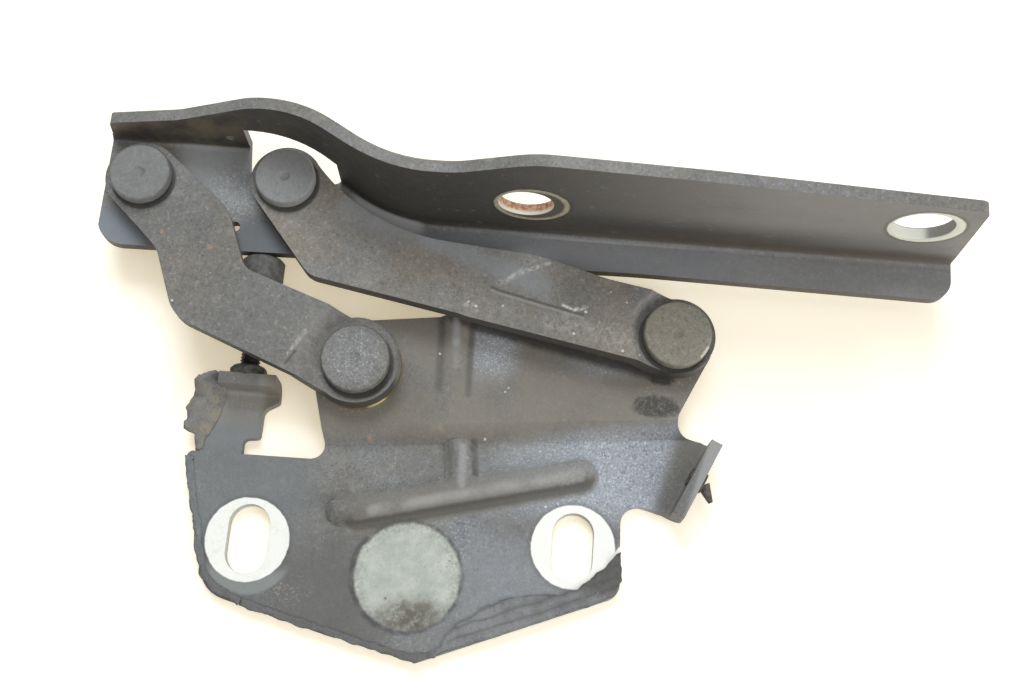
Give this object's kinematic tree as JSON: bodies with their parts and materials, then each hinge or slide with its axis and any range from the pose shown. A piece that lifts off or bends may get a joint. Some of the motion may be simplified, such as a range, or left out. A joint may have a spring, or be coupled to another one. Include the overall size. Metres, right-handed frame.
{
  "type": "bonnet hinge",
  "caption": "Four-bar bonnet hinge of pressed steel: slotted body bracket, short and long links on flat-headed rivets, flanged bonnet arm and an adjustable stop.",
  "frame": {"origin": "on the face that bolts to the body, midway between the two body slots", "axes": "+X along the straight run of the bonnet arm, +Y from the body slots towards the bonnet flange, +Z along the pivots, away from the body"},
  "size_m": [0.2154, 0.1272, 0.051],
  "materials": {
    "base_paint": "dusty worn black paint",
    "bonnet_paint": "dusty worn black paint",
    "link_paint": "dusty worn black paint",
    "rivet_paint": "dusty worn black paint",
    "bronze": "dull bronze",
    "dark_steel": "blackened, dirty",
    "rubber": "matt"
  },
  "bodies": {
    "base": {"base_bracket": "base_paint", "rivet_short_base": "rivet_paint", "rivet_long_base": "rivet_paint", "washer_short_base": "bronze", "washer_long_base": "bronze", "stop_screw": "dark_steel", "stop_nut": "dark_steel", "stop_buffer": "rubber", "ear_plug": "rubber"},
    "long_arm": {"long_link": "link_paint", "bush_long_base": "bronze", "bush_long_bonnet": "bronze"},
    "short_arm": {"short_link": "link_paint", "bush_short_base": "bronze", "bush_short_bonnet": "bronze"},
    "bonnet_side": {"bonnet_bracket": "bonnet_paint", "rivet_short_bonnet": "rivet_paint", "rivet_long_bonnet": "rivet_paint", "washer_short_bonnet": "bronze", "washer_long_bonnet": "bronze"}
  },
  "joints": [
    {"name": "long_pivot", "type": "hinge", "parent": "base", "child": "long_arm", "pos_m": [0.061, 0.0546, 0.0102], "axis": [0, 0, -1], "range_deg": [0, 30]},
    {"name": "bonnet_pivot", "type": "hinge", "parent": "long_arm", "child": "bonnet_side", "pos_m": [-0.039, 0.086, 0.0152], "axis": [0, 0, 1], "range_deg": [0, 62.5]},
    {"name": "short_pivot", "type": "hinge", "parent": "base", "child": "short_arm", "pos_m": [-0.017, 0.042, 0.0102], "axis": [0, 0, -1], "range_deg": [0, 34.9]}
  ],
  "couplings": [
    {"joint": "bonnet_pivot", "follows": "long_pivot", "ratio": 2.0825},
    {"joint": "short_pivot", "follows": "long_pivot", "ratio": 1.1606}
  ]
}
